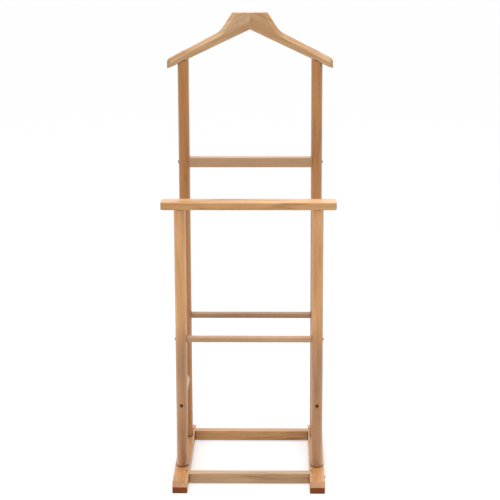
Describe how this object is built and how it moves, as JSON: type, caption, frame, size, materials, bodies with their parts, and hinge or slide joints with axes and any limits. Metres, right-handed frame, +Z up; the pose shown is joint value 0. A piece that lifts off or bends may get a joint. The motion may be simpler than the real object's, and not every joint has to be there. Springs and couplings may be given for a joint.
{
  "type": "valet stand",
  "caption": "Free-standing wooden valet stand: a jacket hanger on tall rear posts, a broad top rail on shorter front posts, and bars for trousers between them, on two runners.",
  "frame": {"origin": "middle of the stand's footprint, on the floor", "axes": "+Z up, -Y towards the front (the top rail's side), +X to the right seen from the front"},
  "size_m": [0.45, 0.48, 1.2],
  "materials": {
    "runner_wood": "satin lacquer over light beech",
    "post_wood": "satin lacquer over light beech",
    "top_rail_wood": "satin lacquer over light beech",
    "bar_wood": "satin lacquer over light beech",
    "hanger_wood": "satin lacquer over light beech",
    "bolt_bronze": "dark bronze plating",
    "insert_brass": "plain",
    "pin_wood": "unfinished beech"
  },
  "bodies": {
    "root": {"runner_left": "runner_wood", "runner_right": "runner_wood", "front_post_left": "post_wood", "front_post_right": "post_wood", "rear_post_left": "post_wood", "rear_post_right": "post_wood", "top_rail": "top_rail_wood", "front_stretcher": "bar_wood", "rear_stretcher": "bar_wood", "crossbar": "bar_wood", "trouser_bar": "bar_wood", "rear_bar": "bar_wood", "side_rail_left": "bar_wood", "side_rail_right": "bar_wood", "hanger_left": "hanger_wood", "hanger_right": "hanger_wood", "bar_bolts": "bolt_bronze", "side_rail_bolts": "bolt_bronze", "crossbar_bolts": "bolt_bronze", "stretcher_bolts": "bolt_bronze", "foot_bolts": "bolt_bronze", "hanger_bolts": "bolt_bronze", "bar_inserts": "insert_brass", "side_rail_inserts": "insert_brass", "crossbar_inserts": "insert_brass", "stretcher_inserts": "insert_brass", "foot_inserts": "insert_brass", "hanger_inserts": "insert_brass", "foot_pins": "pin_wood", "rail_pins": "pin_wood", "hanger_pins": "pin_wood"}
  },
  "joints": []
}
